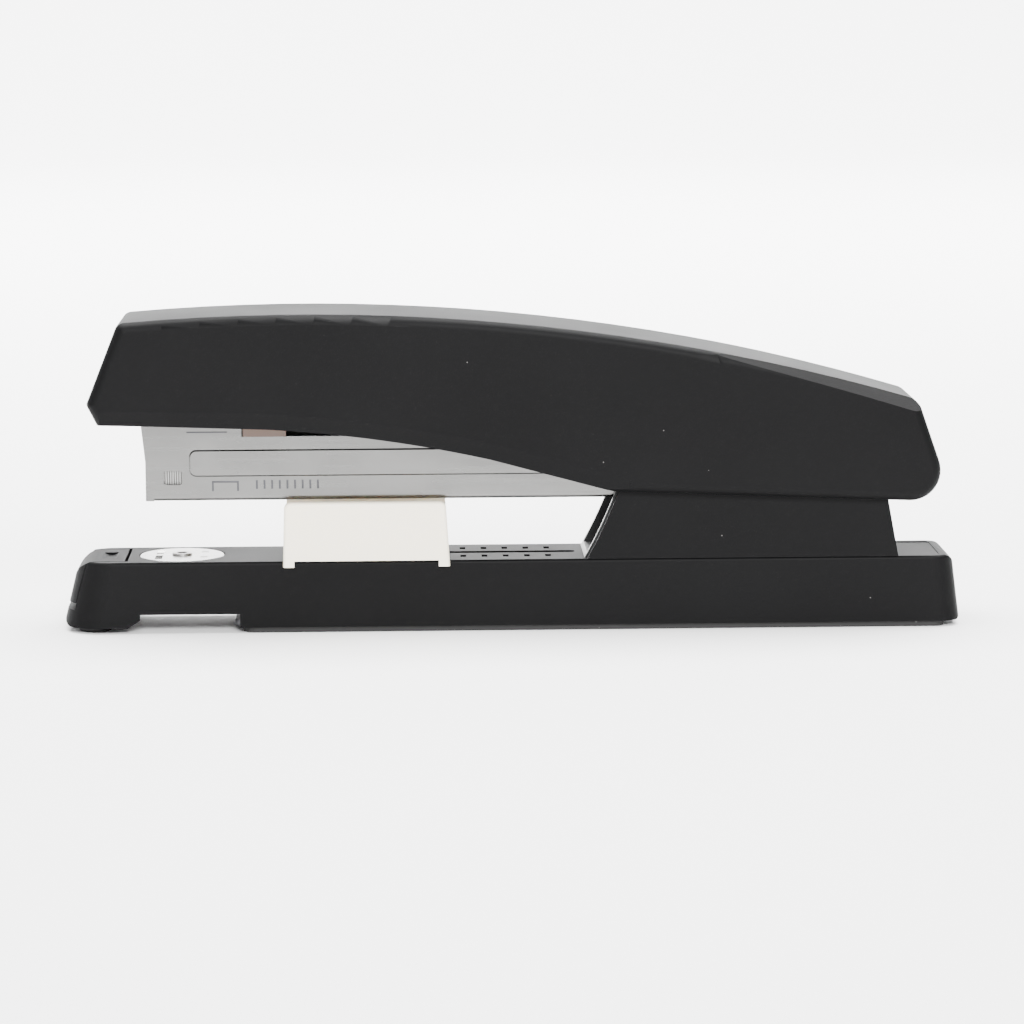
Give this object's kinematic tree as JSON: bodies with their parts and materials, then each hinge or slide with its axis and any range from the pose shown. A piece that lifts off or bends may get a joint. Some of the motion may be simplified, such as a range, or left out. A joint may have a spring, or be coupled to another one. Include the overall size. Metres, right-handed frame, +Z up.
{
  "type": "long reach stapler",
  "caption": "Desk stapler with an arched handle, steel magazine over a long flat base, sliding paper stop and turning anvil.",
  "frame": {"origin": "centre of the base's underside, on the surface it stands on", "axes": "+X along the stapler from nose to hinge, +Y across it, +Z up"},
  "size_m": [0.2006, 0.0296, 0.0713],
  "materials": {
    "black_shell": "fine-grained moulded ABS, black",
    "black_inner": "plain moulded ABS, black",
    "cream_plastic": "satin moulded acetal, cream",
    "nickel_steel": "nickel-plated pressed steel with a light grain",
    "bright_nickel": "polished nickel",
    "zinc_steel": "zinc-plated steel",
    "spring_steel": "tempered spring steel",
    "staple_wire": "galvanised staple wire",
    "black_rubber": "moulded rubber, black",
    "brown_nylon": "unfilled nylon, brown",
    "bracket_steel": "black-painted pressed steel with bare cut edges",
    "blackened_steel": "blackened steel"
  },
  "bodies": {
    "base": {"base_shell": "black_shell", "nose_plate": "black_inner", "front_feet": "black_rubber", "button_spring": "spring_steel", "base_floor_plate": "blackened_steel", "floor_screws": "zinc_steel", "base_pad": "black_rubber", "pedestal_cover": "black_shell", "hinge_bracket": "bracket_steel", "bracket_rivets": "zinc_steel", "hinge_pin": "bright_nickel", "lift_spring": "spring_steel", "lift_spring_rivet": "zinc_steel"},
    "button": {"front_button": "black_shell"},
    "anvil_turner": {"anvil_washer": "zinc_steel"},
    "anvil": {"anvil_plate": "bright_nickel", "anvil_stem": "spring_steel", "anvil_knob": "black_inner", "anvil_spring": "spring_steel"},
    "stop": {"paper_stop": "cream_plastic", "stop_guide": "cream_plastic", "stop_screws": "zinc_steel", "stop_detents": "spring_steel"},
    "magazine": {"magazine_channel": "nickel_steel", "nose_strip": "nickel_steel", "staple_rail": "nickel_steel", "staple_strip": "staple_wire", "follower_rod": "bright_nickel", "rod_anchor": "nickel_steel", "follower_spring": "spring_steel", "pivot_bushes": "brown_nylon", "channel_pads": "brown_nylon", "spring_bridge": "nickel_steel", "handle_spring": "spring_steel", "handle_spring_rivet": "zinc_steel"},
    "follower": {"staple_follower": "black_inner"},
    "handle": {"handle_shell": "black_shell", "handle_frame": "zinc_steel", "driver_blade": "blackened_steel", "driver_rivets": "zinc_steel", "frame_screws": "zinc_steel"}
  },
  "joints": [
    {"name": "magazine_pivot", "type": "hinge", "parent": "base", "child": "magazine", "pos_m": [0.0775, 0, 0.036], "axis": [0, 1, 0], "range_deg": [-4.6, 20], "stiffness_Nm_per_rad": 3, "springref_deg": 1.72, "deforming": ["lift_spring"]},
    {"name": "handle_pivot", "type": "hinge", "parent": "magazine", "child": "handle", "pos_m": [0.0775, 0, 0.036], "axis": [0, 1, 0], "range_deg": [-3.1, 35], "stiffness_Nm_per_rad": 1.5, "springref_deg": 1.43, "deforming": ["handle_spring"]},
    {"name": "follower_slide", "type": "slide", "parent": "magazine", "child": "follower", "axis": [1, 0, 0], "range_m": [0, 0.035], "stiffness_N_per_m": 30, "springref_m": -0.02, "deforming": ["follower_spring"]},
    {"name": "paper_stop_slide", "type": "slide", "parent": "base", "child": "stop", "axis": [1, 0, 0], "range_m": [0, 0.02381]},
    {"name": "anvil_turn", "type": "hinge", "parent": "base", "child": "anvil_turner", "pos_m": [-0.0743, 0, 0.0159], "axis": [0, 0, 1], "range_deg": [0, 180]},
    {"name": "anvil_lift", "type": "slide", "parent": "anvil_turner", "child": "anvil", "axis": [0, 0, 1], "range_m": [0, 0.0016], "stiffness_N_per_m": 400, "springref_m": -0.002, "deforming": ["anvil_spring"]},
    {"name": "front_button_press", "type": "slide", "parent": "base", "child": "button", "axis": [0, 0, -1], "range_m": [0, 0.0011], "stiffness_N_per_m": 500, "springref_m": -0.002, "deforming": ["button_spring"]}
  ]
}
